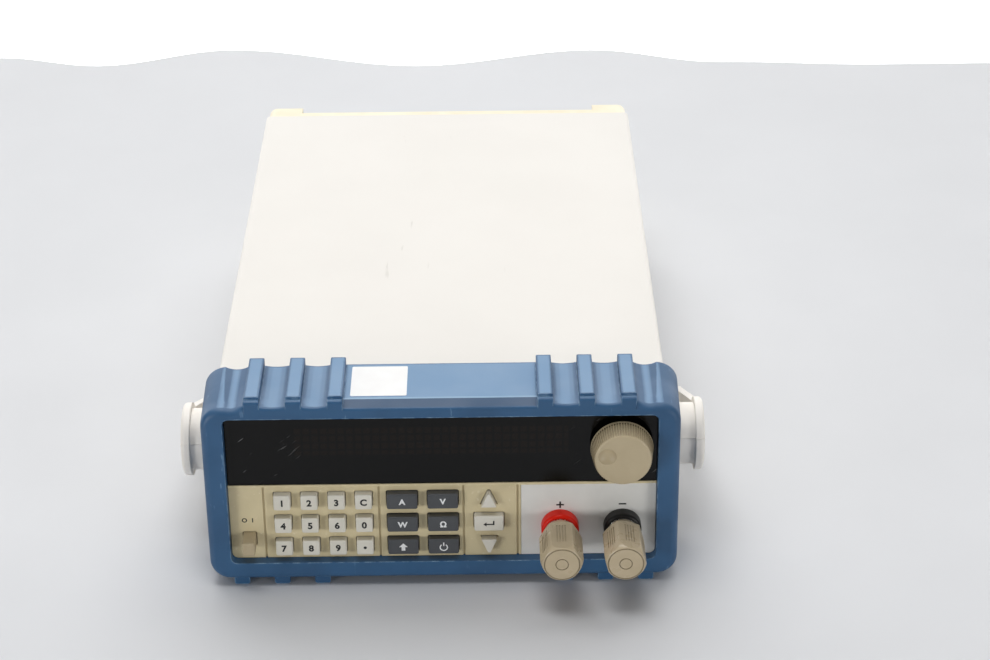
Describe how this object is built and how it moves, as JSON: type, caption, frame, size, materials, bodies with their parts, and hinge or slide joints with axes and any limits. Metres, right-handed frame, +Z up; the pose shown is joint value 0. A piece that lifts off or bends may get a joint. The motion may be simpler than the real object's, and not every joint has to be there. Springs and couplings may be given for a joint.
{
  "type": "dc electronic load",
  "caption": "Bench DC electronic load: box case with ribbed rubber front bumper, dark display window, keypad, tuning knob, binding posts and a swinging carry handle.",
  "frame": {"origin": "on the table under the middle of the whole instrument", "axes": "+X to the right as seen from the front, +Y from the front panel to the rear, +Z up"},
  "size_m": [0.256, 0.394, 0.1042],
  "materials": {
    "bumper_rubber": "moulded, satin",
    "panel_abs": "moulded, fine texture",
    "window_acrylic": "tinted, polished",
    "plate_polycarbonate": "printed film, matt",
    "button_abs": "moulded",
    "knob_abs": "moulded",
    "turned_steel": "turned",
    "encoder_zinc": "die cast",
    "collar_red": "moulded",
    "collar_black": "moulded",
    "stud_brass": "threaded, bright",
    "washer_nickel": "nickel plated",
    "cap_nylon": "moulded",
    "cover_paint": "powder coated, fine texture",
    "handle_abs": "moulded",
    "foot_rubber": "moulded",
    "bezel_abs": "moulded",
    "rear_steel": "powder coated",
    "fan_plastic": "moulded",
    "inlet_nylon": "moulded",
    "slider_red": "moulded",
    "connector_tin": "tin plated",
    "terminal_green": "moulded",
    "screw_zinc": "zinc plated",
    "chassis_steel": "zinc plated sheet",
    "sink_aluminium": "extruded",
    "chip_epoxy": "moulded",
    "board_green": "solder mask",
    "core_iron": "laminated, varnished",
    "display_glass": "glass tube",
    "mat_silicone": "moulded",
    "key_light": "moulded, fine texture",
    "key_dark": "moulded, fine texture"
  },
  "bodies": {
    "instrument": {"front_bumper": "bumper_rubber", "front_panel": "panel_abs", "display_window": "window_acrylic", "input_plate": "plate_polycarbonate", "rotary_encoder": "encoder_zinc", "red_post_collar": "collar_red", "black_post_collar": "collar_black", "red_post_stud": "stud_brass", "black_post_stud": "stud_brass", "case_cover": "cover_paint", "handle_pivots": "turned_steel", "rear_feet": "foot_rubber", "rear_bezel": "bezel_abs", "rear_panel": "rear_steel", "fan_frame": "fan_plastic", "ac_inlet": "inlet_nylon", "line_selector": "inlet_nylon", "serial_connector": "connector_tin", "sense_terminals": "terminal_green", "case_screws": "screw_zinc", "chassis_tray": "chassis_steel", "heat_sink": "sink_aluminium", "power_transistors": "chip_epoxy", "main_board": "board_green", "mains_transformer": "core_iron", "display_board": "board_green", "display_module": "display_glass", "keypad_mat": "mat_silicone", "power_switch": "inlet_nylon"},
    "handle": {"carry_handle": "handle_abs"},
    "power_push": {"power_button": "button_abs"},
    "knob": {"tuning_knob": "knob_abs", "encoder_shaft": "turned_steel"},
    "red_clamp": {"red_post_washer": "washer_nickel"},
    "red_cap": {"red_post_cap": "cap_nylon"},
    "black_clamp": {"black_post_washer": "washer_nickel"},
    "black_cap": {"black_post_cap": "cap_nylon"},
    "fan": {"fan_rotor": "fan_plastic"},
    "selector": {"selector_slider": "slider_red"},
    "key_7": {"key_7": "key_light"},
    "key_8": {"key_8": "key_light"},
    "key_9": {"key_9": "key_light"},
    "key_point": {"key_point": "key_light"},
    "key_4": {"key_4": "key_light"},
    "key_5": {"key_5": "key_light"},
    "key_6": {"key_6": "key_light"},
    "key_0": {"key_0": "key_light"},
    "key_1": {"key_1": "key_light"},
    "key_2": {"key_2": "key_light"},
    "key_3": {"key_3": "key_light"},
    "key_escape": {"key_escape": "key_light"},
    "key_shift": {"key_shift": "key_dark"},
    "key_output": {"key_output": "key_dark"},
    "key_watt": {"key_watt": "key_dark"},
    "key_ohm": {"key_ohm": "key_dark"},
    "key_ampere": {"key_ampere": "key_dark"},
    "key_volt": {"key_volt": "key_dark"},
    "key_enter": {"key_enter": "key_light"},
    "key_up": {"key_up": "key_light"},
    "key_down": {"key_down": "key_light"}
  },
  "joints": [
    {"name": "handle_swing", "type": "hinge", "parent": "instrument", "child": "handle", "pos_m": [0, -0.112, 0.0505], "axis": [-1, 0, 0], "range_deg": [0, 308]},
    {"name": "power_press", "type": "slide", "parent": "instrument", "child": "power_push", "axis": [0, 1, 0], "range_m": [0, 0.0035], "stiffness_N_per_m": 500},
    {"name": "knob_turn", "type": "hinge", "parent": "instrument", "child": "knob", "pos_m": [0.0851, -0.168, 0.0748], "axis": [0, -1, 0], "continuous": true},
    {"name": "red_lift", "type": "slide", "parent": "instrument", "child": "red_clamp", "axis": [0, -1, 0], "range_m": [0, 0.005]},
    {"name": "red_unscrew", "type": "hinge", "parent": "red_clamp", "child": "red_cap", "pos_m": [0.0561, -0.168, 0.0301], "axis": [0, -1, 0], "range_deg": [0, 1800]},
    {"name": "black_lift", "type": "slide", "parent": "instrument", "child": "black_clamp", "axis": [0, -1, 0], "range_m": [0, 0.005]},
    {"name": "black_unscrew", "type": "hinge", "parent": "black_clamp", "child": "black_cap", "pos_m": [0.086, -0.168, 0.0301], "axis": [0, -1, 0], "range_deg": [0, 1800]},
    {"name": "fan_spin", "type": "hinge", "parent": "instrument", "child": "fan", "pos_m": [0.045, 0.172, 0.0521], "axis": [0, 1, 0], "continuous": true},
    {"name": "selector_shift", "type": "slide", "parent": "instrument", "child": "selector", "axis": [1, 0, 0], "range_m": [0, 0.008]},
    {"name": "key_7_press", "type": "slide", "parent": "instrument", "child": "key_7", "axis": [0, 1, 0], "range_m": [0, 0.001], "stiffness_N_per_m": 800},
    {"name": "key_8_press", "type": "slide", "parent": "instrument", "child": "key_8", "axis": [0, 1, 0], "range_m": [0, 0.001], "stiffness_N_per_m": 800},
    {"name": "key_9_press", "type": "slide", "parent": "instrument", "child": "key_9", "axis": [0, 1, 0], "range_m": [0, 0.001], "stiffness_N_per_m": 800},
    {"name": "key_point_press", "type": "slide", "parent": "instrument", "child": "key_point", "axis": [0, 1, 0], "range_m": [0, 0.001], "stiffness_N_per_m": 800},
    {"name": "key_4_press", "type": "slide", "parent": "instrument", "child": "key_4", "axis": [0, 1, 0], "range_m": [0, 0.001], "stiffness_N_per_m": 800},
    {"name": "key_5_press", "type": "slide", "parent": "instrument", "child": "key_5", "axis": [0, 1, 0], "range_m": [0, 0.001], "stiffness_N_per_m": 800},
    {"name": "key_6_press", "type": "slide", "parent": "instrument", "child": "key_6", "axis": [0, 1, 0], "range_m": [0, 0.001], "stiffness_N_per_m": 800},
    {"name": "key_0_press", "type": "slide", "parent": "instrument", "child": "key_0", "axis": [0, 1, 0], "range_m": [0, 0.001], "stiffness_N_per_m": 800},
    {"name": "key_1_press", "type": "slide", "parent": "instrument", "child": "key_1", "axis": [0, 1, 0], "range_m": [0, 0.001], "stiffness_N_per_m": 800},
    {"name": "key_2_press", "type": "slide", "parent": "instrument", "child": "key_2", "axis": [0, 1, 0], "range_m": [0, 0.001], "stiffness_N_per_m": 800},
    {"name": "key_3_press", "type": "slide", "parent": "instrument", "child": "key_3", "axis": [0, 1, 0], "range_m": [0, 0.001], "stiffness_N_per_m": 800},
    {"name": "key_escape_press", "type": "slide", "parent": "instrument", "child": "key_escape", "axis": [0, 1, 0], "range_m": [0, 0.001], "stiffness_N_per_m": 800},
    {"name": "key_shift_press", "type": "slide", "parent": "instrument", "child": "key_shift", "axis": [0, 1, 0], "range_m": [0, 0.001], "stiffness_N_per_m": 800},
    {"name": "key_output_press", "type": "slide", "parent": "instrument", "child": "key_output", "axis": [0, 1, 0], "range_m": [0, 0.001], "stiffness_N_per_m": 800},
    {"name": "key_watt_press", "type": "slide", "parent": "instrument", "child": "key_watt", "axis": [0, 1, 0], "range_m": [0, 0.001], "stiffness_N_per_m": 800},
    {"name": "key_ohm_press", "type": "slide", "parent": "instrument", "child": "key_ohm", "axis": [0, 1, 0], "range_m": [0, 0.001], "stiffness_N_per_m": 800},
    {"name": "key_ampere_press", "type": "slide", "parent": "instrument", "child": "key_ampere", "axis": [0, 1, 0], "range_m": [0, 0.001], "stiffness_N_per_m": 800},
    {"name": "key_volt_press", "type": "slide", "parent": "instrument", "child": "key_volt", "axis": [0, 1, 0], "range_m": [0, 0.001], "stiffness_N_per_m": 800},
    {"name": "key_enter_press", "type": "slide", "parent": "instrument", "child": "key_enter", "axis": [0, 1, 0], "range_m": [0, 0.001], "stiffness_N_per_m": 800},
    {"name": "key_up_press", "type": "slide", "parent": "instrument", "child": "key_up", "axis": [0, 1, 0], "range_m": [0, 0.001], "stiffness_N_per_m": 800},
    {"name": "key_down_press", "type": "slide", "parent": "instrument", "child": "key_down", "axis": [0, 1, 0], "range_m": [0, 0.001], "stiffness_N_per_m": 800}
  ],
  "couplings": [
    {"joint": "red_unscrew", "follows": "red_lift", "rad_per_m": 6283.2},
    {"joint": "black_unscrew", "follows": "black_lift", "rad_per_m": 6283.2}
  ]
}
